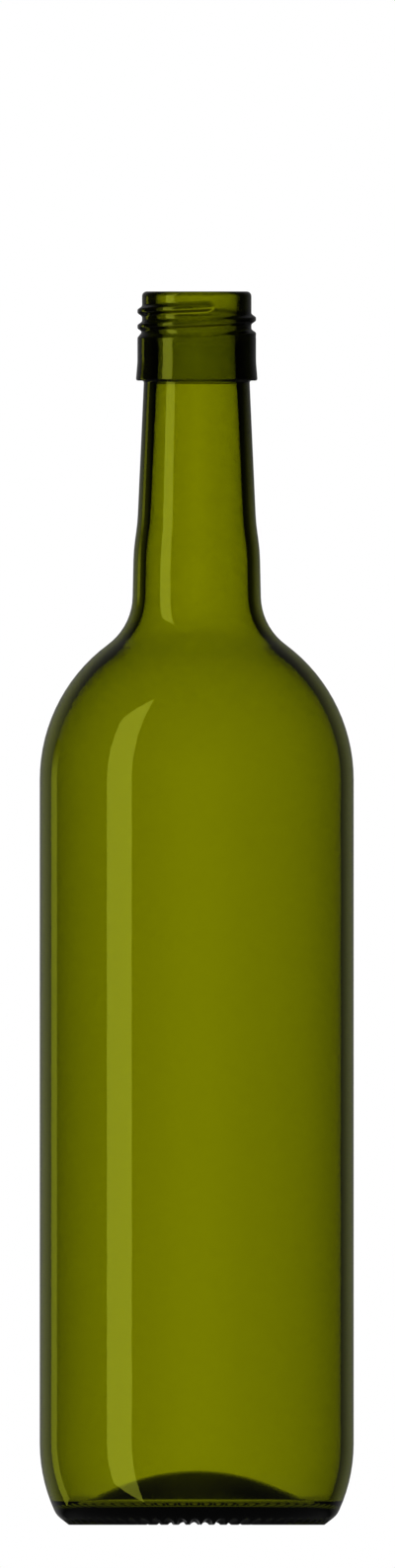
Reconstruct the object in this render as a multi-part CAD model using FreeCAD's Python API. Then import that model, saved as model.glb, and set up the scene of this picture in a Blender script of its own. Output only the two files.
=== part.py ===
import FreeCAD, Part
import math
import os

# A wine bottle of the Bordeaux shape with a screw finish, blown in one piece of glass.
# Millimetres. The axis is Z, the bottle stands on the plane Z = 0 and its front faces -Y.

# ---- Driving dimensions ----------------------------------------------------------------

# Whole bottle
total_height = 300.0
body_diameter = 76.4
wall = 3.05

# Heel, from the straight side down to the foot
heel_height = 19.8
heel_radius = 39.2
heel_corner_radius = 4.9
heel_corner_height = 5.5
foot_slope = 52.0

# Foot ring, on which the bottle stands, and the hollow inside it
foot_width = 3.8
hollow_height = 8.9
knurl_count = 63
knurl_depth = 0.75
knurl_tip_width = 0.33
knurl_groove_tilt = 8.0
groove_overrun = 1.5
knurl_turn = 2.0

# Floor inside the bottle
floor_level = 5.1
floor_corner_radius = 2.8
punt_thickness = 4.4
punt_foot_rounding = 6.0

# Shoulder
shoulder_radius = 40.85
neck_root_radius = 14.85

# Neck, in two tapers with an easy step between them
neck_root_drop = 74.25
neck_root_diameter = 31.2
step_bottom_rise = 11.35
step_bottom_diameter = 30.7
step_top_rise = 17.95
step_top_diameter = 28.84
neck_top_diameter = 25.7
step_rounding = 45.0

# Collar under the thread
collar_top_drop = 11.25
collar_bottom_drop = 21.7
collar_diameter = 28.84
collar_foot_diameter = 29.6
collar_flare_length = 4.6
collar_flare_rounding = 15.0
collar_shoulder_height = 1.0
collar_lead_height = 0.9
collar_lead_diameter = 27.25
collar_edge_rounding = 0.5
ledge_rounding = 0.5

# Mouth
mouth_diameter = 26.6
mouth_bore = 20.1
rim_rounding = 1.2
throat_bore = 18.5
throat_drop = 15.5
throat_end_drop = 25.1
throat_rounding = 60.0

# Screw thread, right-handed, of one start
thread_height = 1.17
thread_pitch = 3.75
thread_crest_radius = 0.8
thread_flank_angle = 57.0
thread_start_drop = 3.7
thread_start_angle = 19.0
thread_sweep = 780.0
thread_run_in = 9.0
thread_run_out = 70.0
thread_root_depth = 0.6
thread_section_step = 10.0
thread_nose_steps = 3

body_radius = body_diameter / 2


# ---- Outline helpers --------------------------------------------------------------------

def section_point(radius, height):
    """A point of the half section, in the plane Y = 0."""
    return FreeCAD.Vector(radius, 0, height)


def circle_point(centre, radius, angle):
    """The point of a section circle at an angle from level, in radians, upwards positive."""
    return centre + section_point(radius * math.cos(angle), radius * math.sin(angle))


def arc_edge(start, middle, end):
    return Part.Arc(start, middle, end).toShape()


def line_edge(start, end):
    return Part.LineSegment(start, end).toShape()


def turn_between(before, after):
    """The angle turned from one unit direction to the next, positive anticlockwise."""
    cross = before.x * after.z - before.z * after.x
    return math.atan2(cross, before.x * after.x + before.z * after.z)


def directions(corners):
    """The unit direction of each straight run along a chain of corners."""
    return [(end[0] - start[0]).normalize() for start, end in zip(corners, corners[1:])]


def rounded_chain(corners):
    """Edges along a chain of (point, rounding), with an arc at each corner that has a rounding."""
    shortest_line = 1e-4
    runs = directions(corners)
    edges = []
    position = corners[0][0]
    for index in range(1, len(corners) - 1):
        corner, rounding = corners[index]
        before = runs[index - 1]
        after = runs[index]
        half_turn = abs(turn_between(before, after)) / 2
        setback = rounding * math.tan(half_turn)
        arc_start = corner - before * setback
        arc_end = corner + after * setback
        if (arc_start - position).Length > shortest_line:
            edges.append(line_edge(position, arc_start))
            position = arc_start
        if rounding > 0:
            inward = (after - before).normalize()
            middle = corner + inward * (rounding / math.cos(half_turn) - rounding)
            edges.append(arc_edge(position, middle, arc_end))
        position = arc_end
    edges.append(line_edge(position, corners[-1][0]))
    return edges


def parallel_chain(corners, distance):
    """The same chain moved to the right of its direction, with its arcs still about one centre."""
    runs = directions(corners)
    moved = []
    for index, (corner, rounding) in enumerate(corners):
        before = runs[max(index - 1, 0)]
        after = runs[min(index, len(runs) - 1)]
        normal_before = section_point(before.z, -before.x)
        normal_after = section_point(after.z, -after.x)
        bisector = (normal_before + normal_after).normalize()
        reach = distance / bisector.dot(normal_after)
        side = 1 if turn_between(before, after) > 0 else -1
        moved.append((corner + bisector * reach, rounding + side * distance))
    return moved


def heel_corners(side, bend, corner_radius, corner_centre_height, exit_angle):
    """The two corners of a heel whose long bend runs straight into a tight one.

    The side is the radius of the straight wall, the bend is the radius of the long bend,
    and the exit angle is how far from vertical the wall leaves the tight bend.
    """
    centre_drop = heel_height - corner_centre_height
    change = math.asin(centre_drop / (bend - corner_radius))
    upper = section_point(side, heel_height - bend * math.tan(change / 2))
    bend_centre = section_point(side - bend, heel_height)
    meeting = circle_point(bend_centre, bend, -change)
    down_the_wall = section_point(-math.sin(change), -math.cos(change))
    setback = corner_radius * math.tan((exit_angle - change) / 2)
    lower = meeting + down_the_wall * setback
    return [(upper, bend), (lower, corner_radius)]


# ---- Outer side ---------------------------------------------------------------------------

def neck_and_shoulder():
    """The corners from the top of the neck down to the straight side of the body."""
    neck_top = section_point(neck_top_diameter / 2, total_height - collar_bottom_drop)
    neck_root = section_point(neck_root_diameter / 2, total_height - neck_root_drop)
    step_bottom = section_point(step_bottom_diameter / 2, neck_root.z + step_bottom_rise)
    step_top = section_point(step_top_diameter / 2, neck_root.z + step_top_rise)

    taper_run = (neck_root - step_bottom).normalize()
    taper = math.atan2(taper_run.x, -taper_run.z)
    widening = body_radius - neck_root.x
    steepest = math.acos(
        (neck_root_radius * math.cos(taper) + shoulder_radius - widening)
        / (neck_root_radius + shoulder_radius)
    )
    root_setback = neck_root_radius * math.tan((steepest - taper) / 2)
    shoulder_setback = shoulder_radius * math.tan(steepest / 2)
    root_corner = neck_root + taper_run * root_setback
    down_the_shoulder = section_point(math.sin(steepest), -math.cos(steepest))
    shoulder_corner = root_corner + down_the_shoulder * (root_setback + shoulder_setback)
    return [
        (neck_top, 0.0),
        (step_top, step_rounding),
        (step_bottom, step_rounding),
        (root_corner, neck_root_radius),
        (shoulder_corner, shoulder_radius),
    ]


def heel_and_foot():
    """The corners from the straight side down the heel to the outer edge of the foot ring."""
    slope = math.radians(foot_slope)
    heel = heel_corners(
        body_radius, heel_radius, heel_corner_radius, heel_corner_height, slope
    )
    last_corner = heel[-1][0]
    foot_edge = section_point(last_corner.x - last_corner.z * math.tan(slope), 0)
    return heel + [(foot_edge, 0.0)]


def finish_corners():
    """The corners of the mouth and the collar, from the top of the rim down to the ledge."""
    collar_top = total_height - collar_top_drop
    collar_bottom = total_height - collar_bottom_drop
    flare_top = collar_bottom + collar_flare_length
    lead_bottom = collar_top + collar_shoulder_height
    collar_radius = collar_diameter / 2
    return [
        (section_point((mouth_diameter + mouth_bore) / 4, total_height), 0.0),
        (section_point(mouth_diameter / 2, total_height), rim_rounding),
        (section_point(mouth_diameter / 2, lead_bottom + collar_lead_height), collar_edge_rounding),
        (section_point(collar_lead_diameter / 2, lead_bottom), collar_edge_rounding),
        (section_point(collar_radius, collar_top), collar_edge_rounding),
        (section_point(collar_radius, flare_top), collar_flare_rounding),
        (section_point(collar_foot_diameter / 2, collar_bottom), collar_edge_rounding),
    ]


# ---- Inner side ---------------------------------------------------------------------------

def bore_corners():
    """The corners of the bore from the rim down to where it runs parallel to the neck."""
    throat_level = total_height - throat_drop
    throat_end = total_height - throat_end_drop
    outer_top, outer_next = [corner for corner, rounding in neck_and_shoulder()[:2]]
    slope = (outer_next.x - outer_top.x) / (outer_top.z - outer_next.z)
    outer_there = outer_top.x + slope * (outer_top.z - throat_end)
    parallel_radius = outer_there - wall * math.hypot(1, slope)
    return [
        (section_point((mouth_diameter + mouth_bore) / 4, total_height), 0.0),
        (section_point(mouth_bore / 2, total_height), rim_rounding),
        (section_point(throat_bore / 2, throat_level), throat_rounding),
        (section_point(parallel_radius, throat_end), throat_rounding),
    ]


def floor_edges(floor_start, foot_inner_radius):
    """The floor inside the bottle: a level ring, an easy curve and the dome of the punt."""
    rise = hollow_height + punt_thickness - floor_level
    dome_radius = (foot_inner_radius ** 2 + rise ** 2) / (2 * rise)
    apex = section_point(0, floor_level + rise)
    dome_centre = apex - section_point(0, dome_radius)
    curve_height = floor_level + punt_foot_rounding
    reach = dome_radius + punt_foot_rounding
    lift = math.asin((curve_height - dome_centre.z) / reach)
    curve_centre = circle_point(dome_centre, reach, lift)
    curve_start = section_point(curve_centre.x, floor_level)
    curve_middle = circle_point(curve_centre, punt_foot_rounding, (lift - 1.5 * math.pi) / 2)
    curve_end = circle_point(dome_centre, dome_radius, lift)
    dome_middle = circle_point(dome_centre, dome_radius, (lift + math.pi / 2) / 2)
    return [
        line_edge(floor_start, curve_start),
        arc_edge(curve_start, curve_middle, curve_end),
        arc_edge(curve_end, dome_middle, apex),
    ]


# ---- Solids ---------------------------------------------------------------------------------

def outer_edges():
    """The outside from the middle of the rim down to the inner edge of the foot ring."""
    shell = neck_and_shoulder()
    ledge = (shell[0][0], ledge_rounding)
    heel = heel_and_foot()
    foot_inner_edge = (section_point(heel[-1][0].x - foot_width, 0), 0.0)
    return rounded_chain(finish_corners() + [ledge] + shell[1:] + heel + [foot_inner_edge])


def hollow_edge(foot_inner_radius):
    """The arc of the hollow under the bottle, from the foot ring up to the axis."""
    hollow_radius = (foot_inner_radius ** 2 + hollow_height ** 2) / (2 * hollow_height)
    centre = section_point(0, hollow_height - hollow_radius)
    start_angle = math.asin(-centre.z / hollow_radius)
    middle = circle_point(centre, hollow_radius, (start_angle + math.pi / 2) / 2)
    return arc_edge(section_point(foot_inner_radius, 0), middle, section_point(0, hollow_height))


def inner_edges(foot_inner_radius):
    """The inside from the middle of the rim down to the top of the punt, on the axis."""
    upper_heel = heel_and_foot()[0]
    shell = parallel_chain(neck_and_shoulder() + [upper_heel], wall)[1:-1]
    heel = heel_corners(
        body_radius - wall,
        heel_radius - wall,
        floor_corner_radius,
        floor_level + floor_corner_radius,
        math.pi / 2,
    )
    floor_end = (section_point(foot_inner_radius, floor_level), 0.0)
    edges = rounded_chain(bore_corners() + shell + heel + [floor_end])
    floor_start = edges[-1].Vertexes[0].Point
    return edges[:-1] + floor_edges(floor_start, foot_inner_radius)


def plain_bottle():
    """The bottle turned from its half section, before the thread and the knurls."""
    outside = outer_edges()
    foot_inner_radius = outside[-1].Vertexes[-1].X
    base_on_axis = line_edge(
        section_point(0, hollow_height),
        section_point(0, hollow_height + punt_thickness),
    )
    edges = outside + [hollow_edge(foot_inner_radius), base_on_axis]
    edges += inner_edges(foot_inner_radius)
    half_section = Part.Face(Part.Wire(Part.__sortEdges__(edges)))
    return half_section.revolve(FreeCAD.Vector(0, 0, 0), FreeCAD.Vector(0, 0, 1), 360)


def thread_fullness(angle):
    """How full the thread is at an angle along it: none at both ends, whole between them."""
    run_in = angle / thread_run_in
    run_out = (thread_sweep - angle) / thread_run_out
    share = max(0.0, min(1.0, run_in, run_out))
    return math.sin(share * math.pi / 2)


def thread_section(angle):
    """The closed section of the thread at an angle along it, rooted below the mouth's side."""
    fullness = thread_fullness(angle)
    root = mouth_diameter / 2 - thread_root_depth
    full_height = thread_root_depth + thread_height
    sunk_height = thread_root_depth / 2
    height = sunk_height + (full_height - sunk_height) * fullness
    crest_radius = thread_crest_radius * (0.35 + 0.65 * height / full_height)
    flank = math.radians(thread_flank_angle)
    touch_out = root + height - crest_radius * (1 - math.cos(flank))
    touch_side = crest_radius * math.sin(flank)
    half_width = touch_side + (touch_out - root) / math.tan(flank)

    level = total_height - thread_start_drop - thread_pitch * angle / 360
    facing = math.radians(thread_start_angle - angle)
    outward = FreeCAD.Vector(math.sin(facing), -math.cos(facing), 0)

    def place(radius, side):
        return outward * radius + FreeCAD.Vector(0, 0, level + side)

    bottom = place(root, -half_width)
    top = place(root, half_width)
    crest_bottom = place(touch_out, -touch_side)
    crest_top = place(touch_out, touch_side)
    return Part.Wire([
        line_edge(top, bottom),
        line_edge(bottom, crest_bottom),
        arc_edge(crest_bottom, place(root + height, 0), crest_top),
        line_edge(crest_top, top),
    ])


def thread():
    """The ridge of the screw thread, as one solid lofted round the mouth."""
    nose_step = thread_run_in / thread_nose_steps
    nose_angles = [nose_step * index for index in range(thread_nose_steps)]
    steps = round((thread_sweep - thread_run_in) / thread_section_step)
    step = (thread_sweep - thread_run_in) / steps
    angles = nose_angles + [thread_run_in + step * index for index in range(steps + 1)]
    return Part.makeLoft([thread_section(angle) for angle in angles], True, False)


def knurl_grooves():
    """The rounded grooves across the foot ring, which leave the knurls between them."""
    foot_outer_radius = heel_and_foot()[-1][0].x
    foot_inner_radius = foot_outer_radius - foot_width
    half_width = (2 * math.pi * foot_inner_radius / knurl_count - knurl_tip_width) / 2
    groove_radius = (half_width ** 2 + knurl_depth ** 2) / (2 * knurl_depth)
    tilt = math.radians(knurl_groove_tilt)
    outward = FreeCAD.Vector(math.cos(tilt), 0, math.sin(tilt))
    down = FreeCAD.Vector(math.sin(tilt), 0, -math.cos(tilt))
    ceiling_at_hollow = section_point(foot_inner_radius, knurl_depth)
    start = ceiling_at_hollow + down * groove_radius - outward * groove_overrun
    length = foot_width + knurl_depth + 2 * groove_overrun
    groove = Part.makeCylinder(groove_radius, length, start, outward)
    spacing = 360 / knurl_count
    first = knurl_turn - 90 + spacing / 2
    grooves = []
    for index in range(knurl_count):
        turned = groove.copy()
        turned.rotate(FreeCAD.Vector(0, 0, 0), FreeCAD.Vector(0, 0, 1), first + spacing * index)
        grooves.append(turned)
    return grooves


def bottle():
    """The whole bottle as one solid."""
    with_thread = plain_bottle().fuse(thread())
    return with_thread.cut(knurl_grooves()).Solids[0]


os.makedirs("parts", exist_ok=True)
bottle().exportStep("parts/bottle.step")
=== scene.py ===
import math

import bpy
from mathutils import Matrix, Vector


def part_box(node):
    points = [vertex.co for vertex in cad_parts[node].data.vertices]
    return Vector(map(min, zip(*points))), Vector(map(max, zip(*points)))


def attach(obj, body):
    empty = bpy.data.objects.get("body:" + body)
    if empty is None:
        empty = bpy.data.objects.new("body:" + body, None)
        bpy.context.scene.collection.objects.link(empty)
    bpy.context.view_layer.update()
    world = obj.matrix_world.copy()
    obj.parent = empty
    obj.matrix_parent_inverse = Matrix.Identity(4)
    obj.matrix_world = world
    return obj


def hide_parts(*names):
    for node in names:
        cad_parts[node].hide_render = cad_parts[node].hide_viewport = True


# An empty wine bottle of clear olive-green glass. Metres. The axis is Z and the front faces -Y.

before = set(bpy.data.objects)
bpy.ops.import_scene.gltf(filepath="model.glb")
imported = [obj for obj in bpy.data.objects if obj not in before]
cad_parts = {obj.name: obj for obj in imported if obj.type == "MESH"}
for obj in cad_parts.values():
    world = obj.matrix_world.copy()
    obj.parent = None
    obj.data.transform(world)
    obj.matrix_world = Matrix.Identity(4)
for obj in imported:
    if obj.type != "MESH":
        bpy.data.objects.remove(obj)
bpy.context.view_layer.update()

mm = 0.001
node_low, node_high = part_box("bottle")

# ---- Sizes ----------------------------------------------------------------------------------

total_height = node_high.z
body_radius = (node_high.x - node_low.x) / 2
wall = 3.05 * mm

# Heel, foot ring and the hollow inside it
heel_height = 19.8 * mm
heel_radius = 39.2 * mm
heel_corner_radius = 4.9 * mm
heel_corner_height = 5.5 * mm
foot_slope = math.radians(52)
foot_width = 3.8 * mm
hollow_height = 8.9 * mm
knurl_count = 63
knurl_depth = 0.75 * mm
knurl_tip_width = 0.33 * mm
knurl_groove_tilt = math.radians(8)
knurl_turn = math.radians(2)
knurl_softness = 0.15 * mm
knurl_zone_height = 2.0 * mm

# Floor inside
floor_level = 5.1 * mm
floor_corner_radius = 2.8 * mm
punt_thickness = 4.4 * mm
punt_foot_rounding = 6.0 * mm

# Shoulder and neck
shoulder_radius = 40.85 * mm
neck_root_radius = 14.85 * mm
neck_root_drop = 74.25 * mm
neck_root_diameter = 31.2 * mm
step_bottom_drop = 62.9 * mm
step_bottom_diameter = 30.7 * mm
step_top_drop = 56.3 * mm
step_top_diameter = 28.84 * mm
neck_top_diameter = 25.7 * mm
step_rounding = 45.0 * mm

# Collar and mouth
collar_top_drop = 11.25 * mm
collar_bottom_drop = 21.7 * mm
collar_diameter = 28.84 * mm
collar_foot_diameter = 29.6 * mm
collar_flare_length = 4.6 * mm
collar_flare_rounding = 15.0 * mm
collar_shoulder_height = 1.0 * mm
collar_lead_height = 0.9 * mm
collar_lead_diameter = 27.25 * mm
collar_edge_rounding = 0.5 * mm
ledge_rounding = 0.5 * mm
mouth_diameter = 26.6 * mm
mouth_bore = 20.1 * mm
rim_rounding = 1.2 * mm
throat_bore = 18.5 * mm
throat_drop = 15.5 * mm
throat_end_drop = 25.1 * mm
throat_rounding = 60.0 * mm

# Screw thread
thread_height = 1.17 * mm
thread_pitch = 3.75 * mm
thread_crest_radius = 0.8 * mm
thread_flank_angle = math.radians(57)
thread_start_drop = 3.7 * mm
thread_start_angle = math.radians(19)
thread_sweep = math.radians(780)
thread_run_in = math.radians(9)
thread_run_out = math.radians(70)
thread_root_depth = 0.6 * mm
thread_nose_sharpness = 0.35
thread_softness = 0.5 * mm
thread_zone_drop = 13.0 * mm

# Fineness of the mesh
columns = 4 * knurl_count
fine_columns = 12 * knurl_count
arc_bulge = 0.02 * mm
widest_turn = math.radians(10)
longest_run = 12.0 * mm
edge_hold = 0.3 * mm
thread_row_step = 0.14 * mm
knurl_row_step = 0.35 * mm
shortest_run = 0.01 * mm


# ---- Half section ---------------------------------------------------------------------------

def on_section(radius, height):
    """A point of the half section: its distance from the axis and its height."""
    return Vector((radius, height))


def turned(vector, angle):
    """A vector of the half section turned anticlockwise."""
    return Matrix.Rotation(angle, 2) @ vector


def turn_between(before, after):
    """The angle turned from one unit direction to the next, positive anticlockwise."""
    return math.atan2(before.x * after.y - before.y * after.x, before.dot(after))


def directions(corners):
    return [(end[0] - start[0]).normalized() for start, end in zip(corners, corners[1:])]


def run_points(start, end):
    """Points along a straight run after its start, with one close to each end to hold the edges."""
    length = (end - start).length
    if length < shortest_run:
        return []
    hold = min(edge_hold, length / 4)
    steps = max(1, math.ceil((length - 2 * hold) / longest_run))
    distances = [hold + (length - 2 * hold) * step / steps for step in range(steps + 1)]
    return [start.lerp(end, distance / length) for distance in distances] + [end]


def arc_points(start, centre, turn):
    """Points along an arc after its start."""
    flattest_turn = 2 * math.acos(1 - arc_bulge / (start - centre).length)
    steps = max(2, math.ceil(abs(turn) / min(flattest_turn, widest_turn)))
    return [centre + turned(start - centre, turn * step / steps) for step in range(1, steps + 1)]


def rounded_path(corners):
    """Points along a chain of (point, rounding), with an arc at each corner that has a rounding."""
    runs = directions(corners)
    path = [corners[0][0]]
    for before, after, (corner, rounding) in zip(runs, runs[1:], corners[1:-1]):
        turn = turn_between(before, after)
        setback = rounding * math.tan(abs(turn) / 2)
        arc_start = corner - before * setback
        path += run_points(path[-1], arc_start)
        if rounding > 0:
            to_centre = turned(before, math.copysign(math.pi / 2, turn)) * rounding
            path += arc_points(path[-1], arc_start + to_centre, turn)
    return path + run_points(path[-1], corners[-1][0])


def parallel_chain(corners, distance):
    """The same chain moved to the right of its direction, with its arcs still about one centre."""
    runs = directions(corners)
    moved = []
    for index, (corner, rounding) in enumerate(corners):
        before = runs[max(index - 1, 0)]
        after = runs[min(index, len(runs) - 1)]
        normal_after = turned(after, -math.pi / 2)
        bisector = (turned(before, -math.pi / 2) + normal_after).normalized()
        reach = distance / bisector.dot(normal_after)
        side = 1 if turn_between(before, after) > 0 else -1
        moved.append((corner + bisector * reach, rounding + side * distance))
    return moved


def heel_corners(side, bend, corner_radius, corner_centre_height, exit_angle):
    """The two corners of a heel whose long bend runs straight into a tight one."""
    change = math.asin((heel_height - corner_centre_height) / (bend - corner_radius))
    upper = on_section(side, heel_height - bend * math.tan(change / 2))
    meeting = on_section(side - bend, heel_height) + turned(on_section(bend, 0), -change)
    setback = corner_radius * math.tan((exit_angle - change) / 2)
    lower = meeting + turned(on_section(0, -1), -change) * setback
    return [(upper, bend), (lower, corner_radius)]


def neck_and_shoulder():
    """The corners from the top of the neck down to the straight side of the body."""
    neck_top = on_section(neck_top_diameter / 2, total_height - collar_bottom_drop)
    step_top = on_section(step_top_diameter / 2, total_height - step_top_drop)
    step_bottom = on_section(step_bottom_diameter / 2, total_height - step_bottom_drop)
    neck_root = on_section(neck_root_diameter / 2, total_height - neck_root_drop)

    taper_run = (neck_root - step_bottom).normalized()
    taper = math.atan2(taper_run.x, -taper_run.y)
    widening = body_radius - neck_root.x
    steepest = math.acos(
        (neck_root_radius * math.cos(taper) + shoulder_radius - widening)
        / (neck_root_radius + shoulder_radius)
    )
    root_setback = neck_root_radius * math.tan((steepest - taper) / 2)
    shoulder_setback = shoulder_radius * math.tan(steepest / 2)
    root_corner = neck_root + taper_run * root_setback
    down_the_shoulder = turned(on_section(0, -1), steepest)
    shoulder_corner = root_corner + down_the_shoulder * (root_setback + shoulder_setback)
    return [
        (neck_top, 0.0),
        (step_top, step_rounding),
        (step_bottom, step_rounding),
        (root_corner, neck_root_radius),
        (shoulder_corner, shoulder_radius),
    ]


def heel_and_foot():
    """The corners from the straight side down the heel to the outer edge of the foot ring."""
    heel = heel_corners(
        body_radius, heel_radius, heel_corner_radius, heel_corner_height, foot_slope
    )
    last_corner = heel[-1][0]
    foot_edge = on_section(last_corner.x - last_corner.y * math.tan(foot_slope), 0)
    return heel + [(foot_edge, 0.0)]


def finish_corners():
    """The corners of the mouth and the collar, from the top of the rim down to the ledge."""
    collar_top = total_height - collar_top_drop
    collar_bottom = total_height - collar_bottom_drop
    lead_bottom = collar_top + collar_shoulder_height
    flare_top = collar_bottom + collar_flare_length
    return [
        (on_section((mouth_diameter + mouth_bore) / 4, total_height), 0.0),
        (on_section(mouth_diameter / 2, total_height), rim_rounding),
        (on_section(mouth_diameter / 2, lead_bottom + collar_lead_height), collar_edge_rounding),
        (on_section(collar_lead_diameter / 2, lead_bottom), collar_edge_rounding),
        (on_section(collar_diameter / 2, collar_top), collar_edge_rounding),
        (on_section(collar_diameter / 2, flare_top), collar_flare_rounding),
        (on_section(collar_foot_diameter / 2, collar_bottom), collar_edge_rounding),
    ]


def bore_corners():
    """The corners of the bore from the rim down to where it runs parallel to the neck."""
    throat_end = total_height - throat_end_drop
    outer_top, outer_next = [corner for corner, rounding in neck_and_shoulder()[:2]]
    slope = (outer_next.x - outer_top.x) / (outer_top.y - outer_next.y)
    outer_there = outer_top.x + slope * (outer_top.y - throat_end)
    return [
        (on_section((mouth_diameter + mouth_bore) / 4, total_height), 0.0),
        (on_section(mouth_bore / 2, total_height), rim_rounding),
        (on_section(throat_bore / 2, total_height - throat_drop), throat_rounding),
        (on_section(outer_there - wall * math.hypot(1, slope), throat_end), throat_rounding),
    ]


def dome_path(edge_radius, base_level, rise):
    """Points up a dome from its edge to its top on the axis."""
    radius = (edge_radius ** 2 + rise ** 2) / (2 * rise)
    centre = on_section(0, base_level + rise - radius)
    start = on_section(edge_radius, base_level)
    return [start] + arc_points(start, centre, math.atan2(edge_radius, radius - rise))


def outer_path(foot_outer_radius):
    """The outside from the middle of the rim down to the top of the hollow, on the axis."""
    shell = neck_and_shoulder()
    ledge = (shell[0][0], ledge_rounding)
    foot_inner_edge = (on_section(foot_outer_radius - foot_width, 0), 0.0)
    corners = finish_corners() + [ledge] + shell[1:] + heel_and_foot() + [foot_inner_edge]
    hollow = dome_path(foot_outer_radius - foot_width, 0, hollow_height)
    return rounded_path(corners) + hollow[1:]


def inner_path(foot_outer_radius):
    """The inside from the middle of the rim down to the top of the punt, on the axis."""
    foot_inner_radius = foot_outer_radius - foot_width
    shell = parallel_chain(neck_and_shoulder() + [heel_and_foot()[0]], wall)[1:-1]
    heel = heel_corners(
        body_radius - wall,
        heel_radius - wall,
        floor_corner_radius,
        floor_level + floor_corner_radius,
        math.pi / 2,
    )
    rise = hollow_height + punt_thickness - floor_level
    dome_radius = (foot_inner_radius ** 2 + rise ** 2) / (2 * rise)
    dome_centre = on_section(0, floor_level + rise - dome_radius)
    reach = dome_radius + punt_foot_rounding
    lift = math.asin((floor_level + punt_foot_rounding - dome_centre.y) / reach)
    curve_centre = dome_centre + on_section(reach * math.cos(lift), reach * math.sin(lift))
    curve_start = on_section(curve_centre.x, floor_level)
    path = rounded_path(bore_corners() + shell + heel + [(curve_start, 0.0)])
    path += arc_points(path[-1], curve_centre, lift - math.pi / 2)
    path += arc_points(path[-1], dome_centre, math.pi / 2 - lift)
    return path


def with_rows(path, low, high, step):
    """The path with its runs between two heights divided into rows no further apart than a step."""
    finer = [path[0]]
    for start, end in zip(path, path[1:]):
        inside = low <= min(start.y, end.y) and max(start.y, end.y) <= high
        steps = math.ceil((end - start).length / step) if inside else 1
        finer += [start.lerp(end, part / steps) for part in range(1, steps + 1)]
    return finer


# ---- Thread and knurls ----------------------------------------------------------------------

def soft_max(first, second, reach):
    """The larger of two lengths, filleted where they come within a reach of each other."""
    overlap = max(reach - abs(first - second), 0.0)
    return max(first, second) + overlap ** 2 / (4 * reach)


def thread_radius(height, facing):
    """How far from the axis the thread's surface is, at a height and an angle from the front."""
    root = mouth_diameter / 2 - thread_root_depth
    full = thread_root_depth + thread_height
    sunk = thread_root_depth / 2
    furthest = 0.0
    along = (thread_start_angle - facing) % math.tau
    while along <= thread_sweep:
        share = max(0.0, min(1.0, along / thread_run_in, (thread_sweep - along) / thread_run_out))
        crest = sunk + (full - sunk) * math.sin(share * math.pi / 2)
        roundness = thread_nose_sharpness + (1 - thread_nose_sharpness) * crest / full
        crest_radius = thread_crest_radius * roundness
        crest_centre = crest - crest_radius
        touch_side = crest_radius * math.sin(thread_flank_angle)
        touch_out = crest_centre + crest_radius * math.cos(thread_flank_angle)
        level = total_height - thread_start_drop - thread_pitch * along / math.tau
        side = abs(height - level)
        if side <= touch_side:
            out = crest_centre + math.sqrt(crest_radius ** 2 - side ** 2)
        else:
            out = touch_out - (side - touch_side) * math.tan(thread_flank_angle)
        furthest = max(furthest, root + out)
        along += math.tau
    return furthest


def threaded(point, facing):
    """The mouth's side, with the thread standing on it and running out into the collar."""
    collar_radius = collar_diameter / 2
    if point.x >= collar_radius:
        return point
    radius = soft_max(point.x, thread_radius(point.y, facing), thread_softness)
    return min(radius, collar_radius), point.y


def knurled(point, facing, foot_inner_radius):
    """The foot ring and its chamfer, lifted where a groove between two knurls crosses them."""
    spacing = math.tau / knurl_count
    half_width = (foot_inner_radius * spacing - knurl_tip_width) / 2
    groove_radius = (half_width ** 2 + knurl_depth ** 2) / (2 * knurl_depth)
    off_centre = (facing - knurl_turn) % spacing - spacing / 2
    across = min(abs(point.x * math.sin(off_centre)), groove_radius)
    drop = groove_radius - math.sqrt(groove_radius ** 2 - across ** 2)
    ceiling = knurl_depth + (point.x - foot_inner_radius) * math.tan(knurl_groove_tilt)
    groove = ceiling - drop / math.cos(knurl_groove_tilt)
    return point.x, soft_max(point.y, groove, knurl_softness)


# ---- Mesh -----------------------------------------------------------------------------------

def ring_points(section_at, count):
    """One turn of points round the axis, where the section's point may change with the angle."""
    points = []
    for column in range(count):
        facing = knurl_turn + math.tau * column / count
        radius, height = section_at(facing)
        points.append((radius * math.sin(facing), -radius * math.cos(facing), height))
    return points


def strip_faces(low_start, low_count, high_start, high_count):
    """Faces between two rings, of which one may have a whole number of times the other's points."""
    faces = []
    count = min(low_count, high_count)
    low_parts = low_count // count
    high_parts = high_count // count
    for column in range(count):
        low = [low_start + (column * low_parts + k) % low_count for k in range(low_parts + 1)]
        high = [high_start + (column * high_parts + k) % high_count for k in range(high_parts + 1)]
        if low_parts == high_parts:
            faces.append((low[0], low[1], high[1], high[0]))
        elif low_parts > high_parts:
            faces.append((low[0], low[1], high[0]))
            faces += [(low[k], low[k + 1], high[1]) for k in range(1, low_parts)]
            faces.append((low[1], high[1], high[0]))
        else:
            faces.append((low[0], high[1], high[0]))
            faces += [(low[1], high[k + 1], high[k]) for k in range(1, high_parts)]
            faces.append((low[0], low[1], high[1]))
    return faces


def lathe_mesh(name, sections):
    """A closed mesh turned from (section function, columns) rows, from one pole to the other."""
    points = []
    faces = []
    first_pole, last_pole = sections[0], sections[-1]
    points.append((0, 0, first_pole.y))
    previous = None
    for section_at, count in sections[1:-1]:
        start = len(points)
        points += ring_points(section_at, count)
        if previous is None:
            faces += [(0, start + (k + 1) % count, start + k) for k in range(count)]
        else:
            faces += strip_faces(*previous, start, count)
        previous = (start, count)
    start, count = previous
    points.append((0, 0, last_pole.y))
    faces += [(start + k, start + (k + 1) % count, len(points) - 1) for k in range(count)]
    mesh = bpy.data.meshes.new(name)
    mesh.from_pydata(points, [], faces)
    mesh.polygons.foreach_set("use_smooth", [True] * len(faces))
    mesh.update()
    return mesh


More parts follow.
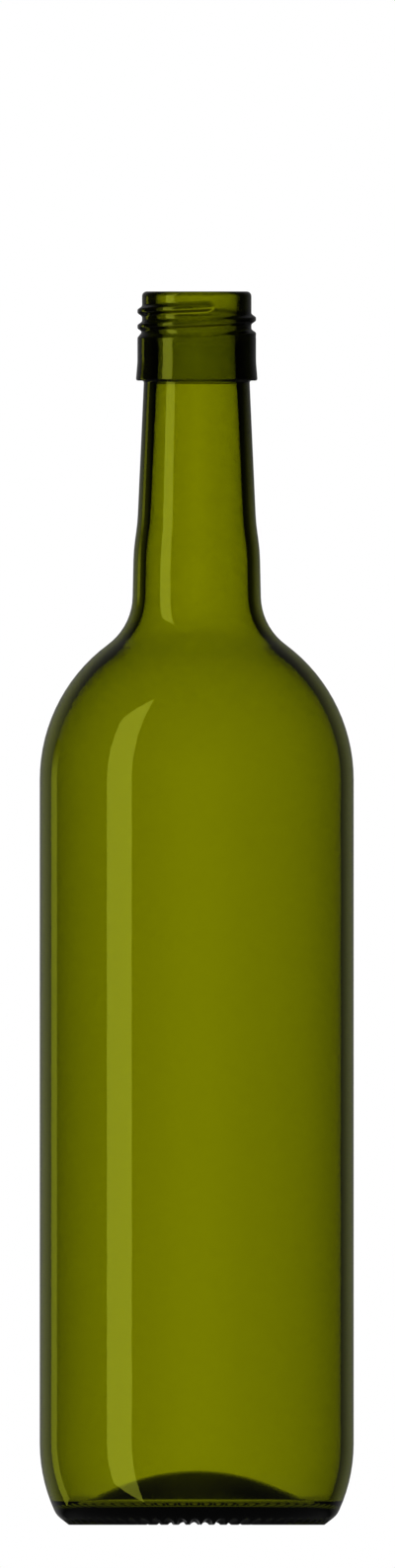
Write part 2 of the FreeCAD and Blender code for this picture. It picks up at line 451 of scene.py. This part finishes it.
def bottle_mesh():
    """The whole wall of the bottle: up the outside, over the rim and down the inside."""
    foot_outer_radius = heel_and_foot()[-1][0].x
    foot_inner_radius = foot_outer_radius - foot_width
    thread_top = total_height - rim_rounding
    thread_bottom = total_height - thread_zone_drop
    outside = outer_path(foot_outer_radius)
    outside = with_rows(outside, thread_bottom, thread_top, thread_row_step)
    outside = with_rows(outside, 0, knurl_zone_height, knurl_row_step)

    def outer_section(point):
        if thread_bottom <= point.y <= thread_top:
            return (lambda facing: threaded(point, facing), columns)
        if point.y < knurl_zone_height:
            return (lambda facing: knurled(point, facing, foot_inner_radius), fine_columns)
        return (lambda facing: point, columns)

    sections = [outer_section(point) for point in reversed(outside[:-1])]
    inside = inner_path(foot_outer_radius)[1:]
    sections += [(lambda facing, point=point: point, columns) for point in inside[:-1]]
    return lathe_mesh("bottle_glass", [outside[-1]] + sections + [inside[-1]])


# ---- Shader helpers -------------------------------------------------------------------------

def add_node(tree, kind, **settings):
    """A shader node, with its properties and inputs set by name; a socket value makes a link.

    An input is named with underscores for its spaces, or by its place as i0, i1 and so on.
    """
    node = tree.nodes.new(kind)
    for name, value in settings.items():
        if hasattr(node, name):
            setattr(node, name, value)
            continue
        if name[1:].isdigit():
            socket = node.inputs[int(name[1:])]
        else:
            socket = node.inputs[name.replace("_", " ")]
        if isinstance(value, bpy.types.NodeSocket):
            tree.links.new(value, socket)
        else:
            socket.default_value = value
    return node


def calculate(tree, operation, *values):
    """A math node's result."""
    inputs = {f"i{index}": value for index, value in enumerate(values)}
    return add_node(tree, "ShaderNodeMath", operation=operation, **inputs).outputs[0]


def height_of(tree, place):
    """The height of a place or a direction."""
    return add_node(tree, "ShaderNodeSeparateXYZ", Vector=place).outputs["Z"]


def has_bounced(tree, path):
    """1 for a ray that has been reflected at least once on its way, otherwise 0."""
    return calculate(tree, "GREATER_THAN", path["Glossy Depth"], 0.5)


def smooth_step(tree, value, low, high, at_low, at_high):
    """A value eased from one level to another as the input crosses a range."""
    node = add_node(tree, "ShaderNodeMapRange", interpolation_type="SMOOTHSTEP", i0=value,
                    i1=low, i2=high, i3=at_low, i4=at_high)
    return node.outputs[0]


# ---- Glass ----------------------------------------------------------------------------------

glass_ior = 1.515
glass_colour = (0.807, 0.817, 0.0, 1.0)
absorption_density = 1500.0

# The skin's faint waves and its uneven polish, from two noises
wave_scale = 90.0
wave_height = 0.06 * mm
wave_strength = 0.3
haze_scale = 30.0
haze_from = 0.35
haze_full = 0.75
skin_roughness_low = 0.0
skin_roughness_high = 0.02
plunger_roughness = 0.18


def bore_roughness(tree, place):
    """The bore of the mouth, shaped by the plunger, is less smooth than the outer skin."""
    across = add_node(tree, "ShaderNodeVectorMath", operation="MULTIPLY", i0=place, i1=(1, 1, 0))
    radius = add_node(tree, "ShaderNodeVectorMath", operation="LENGTH", i0=across.outputs[0])
    collar_top = total_height - collar_top_drop
    bore = smooth_step(tree, radius.outputs["Value"], (mouth_bore + rim_rounding) / 2,
                       mouth_bore / 2 + rim_rounding, plunger_roughness, 0.0)
    mouth = smooth_step(tree, height_of(tree, place), collar_top - wall, collar_top, 0.0, 1.0)
    return calculate(tree, "MULTIPLY", bore, mouth)


def glass_material():
    """Clear olive-green bottle glass, coloured through its thickness, with a fire-polished skin."""
    material = bpy.data.materials.new("olive_green_glass")
    material.use_nodes = True
    tree = material.node_tree
    tree.nodes.clear()
    place = add_node(tree, "ShaderNodeTexCoord").outputs["Object"]
    waves = add_node(tree, "ShaderNodeTexNoise", Vector=place, Scale=wave_scale, Detail=1.0)
    bump = add_node(tree, "ShaderNodeBump", Height=waves.outputs["Fac"], Strength=wave_strength,
                    Distance=wave_height)
    haze = add_node(tree, "ShaderNodeTexNoise", Vector=place, Scale=haze_scale, Detail=3.0)
    skin = smooth_step(tree, haze.outputs["Fac"], haze_from, haze_full,
                       skin_roughness_low, skin_roughness_high)
    roughness = calculate(tree, "ADD", skin, bore_roughness(tree, place))
    glass = add_node(tree, "ShaderNodeBsdfPrincipled", Base_Color=(1, 1, 1, 1),
                     Roughness=roughness, IOR=glass_ior, Transmission_Weight=1.0,
                     Normal=bump.outputs["Normal"])
    tint = add_node(tree, "ShaderNodeVolumeAbsorption", Color=glass_colour,
                    Density=absorption_density)
    add_node(tree, "ShaderNodeOutputMaterial", Surface=glass.outputs[0], Volume=tint.outputs[0])
    return material


def make_bottle():
    bottle = bpy.data.objects.new("bottle_glass", bottle_mesh())
    bpy.context.scene.collection.objects.link(bottle)
    bottle.data.materials.append(glass_material())
    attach(bottle, "root")
    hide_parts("bottle")


# ---- Studio ---------------------------------------------------------------------------------

floor_radius = 60.0
floor_colour = (0.9, 0.9, 0.9, 1.0)
floor_roughness = 0.9

# The camera looks level at the middle of the view
camera_distance = 3.0
view_height = 381.36 * mm
view_middle = 180.2 * mm
view_shift = 0.19 * mm

# The limits of the studio's light below are parts of a direction along an axis, from -1 to 1.

# What shows through the glass: white near the horizon, dark overhead and darker underfoot
white_up_to = 0.08
dark_from = 0.42
overhead = 0.0
white_down_to = -0.2
dim_from = -1.3
underfoot = 0.03

# Light that the wall has thrown sideways comes from a white backdrop between dark sides
backdrop_middle = -0.06
backdrop_white_within = 0.1
backdrop_dark_beyond = 0.75
backdrop_side = 0.01

# What the polished skin reflects: a dark room that is paler far behind, down to a little below
# the horizon, and a faint floor
room_reflected = 0.01
behind_from = 0.5
behind_full = 1.0
left_reflected_behind = 0.15
right_reflected_behind = 0.1
sides_meet_within = 0.3
behind_dark_up_to = -0.35
behind_pale_from = -0.1
floor_reflected = 0.04
floor_full_up_to = -0.5
floor_gone_from = -0.2

# A sheet of painted shade hung close behind the bottle, from the shoulder up, which thins what the
# wall of the neck throws sideways and so darkens the neck's side bands
shade_sheet_distance = 0.05
shade_sheet_width = 1.0
shade_sheet_bottom = 0.2
shade_sheet_thickest = 0.285
shade_sheet_top = 0.4
shade_sheet_lets_through = 0.1

# Two glowing cards upright in the room, lighting nothing and seen only as reflections: painted
# olive-yellow highlights on the glass, a wide one and a narrow card that fades out towards its top.
highlight_tint = (0.9, 1.0, 0.09, 1.0)
card_distance = 1.5
highlight_card_near = -1.695
highlight_card_far = -4.005
highlight_card_bottom = -1.809
highlight_card_top = 3.183
highlight_card_strength = 2.6
edge_card_near = math.radians(124.5)
edge_card_far = math.radians(134.5)
edge_card_bottom = -0.5
edge_card_fades_from = 0.17
edge_card_top = 0.48
edge_card_strength = 0.75
edge_card_faded = 0.06


def pale_floor_material():
    material = bpy.data.materials.new("pale_floor")
    material.use_nodes = True
    shader = material.node_tree.nodes["Principled BSDF"]
    shader.inputs["Base Color"].default_value = floor_colour
    shader.inputs["Roughness"].default_value = floor_roughness
    shader.inputs["Specular IOR Level"].default_value = 0.0
    return material


def card_material(strength, fades_from, fades_to):
    """A glowing card that lights nothing and paints a highlight where the glass reflects it; it
    fades out between two heights where they differ.
    """
    material = bpy.data.materials.new("highlight_card")
    material.use_nodes = True
    tree = material.node_tree
    tree.nodes.clear()
    light = add_node(tree, "ShaderNodeEmission", Color=highlight_tint, Strength=strength)
    if fades_from < fades_to:
        place = add_node(tree, "ShaderNodeNewGeometry").outputs["Position"]
        fading = smooth_step(tree, height_of(tree, place), fades_from, fades_to,
                             strength, edge_card_faded)
        tree.links.new(fading, light.inputs["Strength"])
    add_node(tree, "ShaderNodeOutputMaterial", Surface=light.outputs[0])
    return material


def make_stage(name, corners, material):
    """A flat sheet of the studio, which isn't part of the bottle."""
    mesh = bpy.data.meshes.new(name)
    mesh.from_pydata(corners, [], [(0, 1, 2, 3)])
    stage = bpy.data.objects.new(name, mesh)
    stage.data.materials.append(material)
    bpy.context.scene.collection.objects.link(stage)
    return stage


def make_floor():
    signs = ((-1, -1), (1, -1), (1, 1), (-1, 1))
    corners = [(x * floor_radius, y * floor_radius, 0) for x, y in signs]
    floor = make_stage("floor", corners, pale_floor_material())
    floor.visible_glossy = False
    floor.visible_transmission = False


def make_card(name, near, far, bottom, fades_from, top, strength):
    """An upright card between two places on the floor, seen only as a reflection: a painted
    highlight.
    """
    corners = [(*near, bottom), (*far, bottom), (*far, top), (*near, top)]
    card = make_stage(name, corners, card_material(strength, fades_from, top))
    card.visible_camera = False
    card.visible_diffuse = False
    card.visible_transmission = False
    card.visible_shadow = False


def shade_sheet_material():
    """A see-through sheet of painted shade that only dims light which has been reflected on its
    way.
    """
    material = bpy.data.materials.new("shade_sheet")
    material.use_nodes = True
    tree = material.node_tree
    tree.nodes.clear()
    path = add_node(tree, "ShaderNodeLightPath").outputs
    place = add_node(tree, "ShaderNodeNewGeometry").outputs["Position"]
    share = smooth_step(tree, height_of(tree, place), shade_sheet_bottom, shade_sheet_thickest,
                        1.0, shade_sheet_lets_through)
    level = add_node(tree, "ShaderNodeMix", data_type="FLOAT", i0=has_bounced(tree, path),
                     i2=1.0, i3=share)
    sheer = add_node(tree, "ShaderNodeBsdfTransparent", Color=level.outputs[0])
    add_node(tree, "ShaderNodeOutputMaterial", Surface=sheer.outputs[0])
    return material


def make_shade_sheet():
    side = shade_sheet_width / 2
    corners = [(-side, shade_sheet_distance, shade_sheet_bottom), (side, shade_sheet_distance, shade_sheet_bottom),
               (side, shade_sheet_distance, shade_sheet_top), (-side, shade_sheet_distance, shade_sheet_top)]
    # This sheet paints shade on the neck's side bands; only light passing through the glass sees
    # it.
    shade_sheet = make_stage("shade_sheet", corners, shade_sheet_material())
    shade_sheet.visible_camera = False
    shade_sheet.visible_diffuse = False
    shade_sheet.visible_glossy = False
    shade_sheet.visible_shadow = False


def round_the_bottle(facing):
    """A place on the floor at the cards' distance, at an angle from the front towards the left."""
    return -math.sin(facing) * card_distance, -math.cos(facing) * card_distance


def make_cards():
    # Both cards paint highlights on the glass; they give no light to the room.
    make_card("highlight_card", (highlight_card_near, -card_distance), (highlight_card_far, -card_distance),
              highlight_card_bottom, highlight_card_top, highlight_card_top, highlight_card_strength)
    make_card("edge_card", round_the_bottle(edge_card_near), round_the_bottle(edge_card_far),
              edge_card_bottom, edge_card_fades_from, edge_card_top, edge_card_strength)


def seen_through(tree, direction, path):
    """The level of the studio for light that has come through the glass."""
    sky = smooth_step(tree, direction["Z"], white_up_to, dark_from, 1.0, overhead)
    ground = smooth_step(tree, direction["Z"], dim_from, white_down_to, underfoot, 1.0)
    level = calculate(tree, "MULTIPLY", sky, ground)
    off_middle = calculate(tree, "SUBTRACT", direction["X"], backdrop_middle)
    sideways = calculate(tree, "ABSOLUTE", off_middle)
    backdrop = smooth_step(tree, sideways, backdrop_white_within, backdrop_dark_beyond,
                           1.0, backdrop_side)
    darker = calculate(tree, "SUBTRACT", 1.0, backdrop)
    taken_off = calculate(tree, "MULTIPLY", has_bounced(tree, path), darker)
    return calculate(tree, "MULTIPLY", level, calculate(tree, "SUBTRACT", 1.0, taken_off))


def seen_reflected(tree, direction):
    """The level of the studio for light that the skin reflects."""
    behind = smooth_step(tree, direction["X"], -sides_meet_within, sides_meet_within,
                         left_reflected_behind, right_reflected_behind)
    not_low = smooth_step(tree, direction["Z"], behind_dark_up_to, behind_pale_from, 0.0, 1.0)
    behind = calculate(tree, "MULTIPLY", behind, not_low)
    room = smooth_step(tree, direction["Y"], behind_from, behind_full, room_reflected, behind)
    below = smooth_step(tree, direction["Z"], floor_full_up_to, floor_gone_from,
                        floor_reflected, 0.0)
    return calculate(tree, "MAXIMUM", room, below)


def make_world():
    """White to the camera and as plain light; through and on the glass, the studio's levels."""
    world = bpy.data.worlds.new("studio")
    bpy.context.scene.world = world
    world.use_nodes = True
    tree = world.node_tree
    tree.nodes.clear()
    path = add_node(tree, "ShaderNodeLightPath").outputs
    place = add_node(tree, "ShaderNodeTexCoord").outputs["Generated"]
    direction = add_node(tree, "ShaderNodeSeparateXYZ", Vector=place).outputs
    through = calculate(tree, "MULTIPLY", path["Is Transmission Ray"],
                        seen_through(tree, direction, path))
    reflected = calculate(tree, "MULTIPLY", path["Is Glossy Ray"],
                          seen_reflected(tree, direction))
    level = calculate(tree, "MAXIMUM", path["Is Camera Ray"], path["Is Diffuse Ray"])
    level = calculate(tree, "ADD", level, through)
    level = calculate(tree, "ADD", level, reflected)
    background = add_node(tree, "ShaderNodeBackground", Color=(1, 1, 1, 1), Strength=level)
    add_node(tree, "ShaderNodeOutputWorld", Surface=background.outputs[0])


def make_camera():
    camera = bpy.data.objects.new("camera", bpy.data.cameras.new("camera"))
    bpy.context.scene.collection.objects.link(camera)
    camera.data.type = "ORTHO"
    camera.data.ortho_scale = view_height
    camera.location = (view_shift, -camera_distance, view_middle)
    camera.rotation_euler = (math.pi / 2, 0, 0)
    bpy.context.scene.camera = camera


make_bottle()
make_floor()
make_cards()
make_shade_sheet()
make_world()
make_camera()
bpy.context.scene.view_settings.view_transform = "Standard"
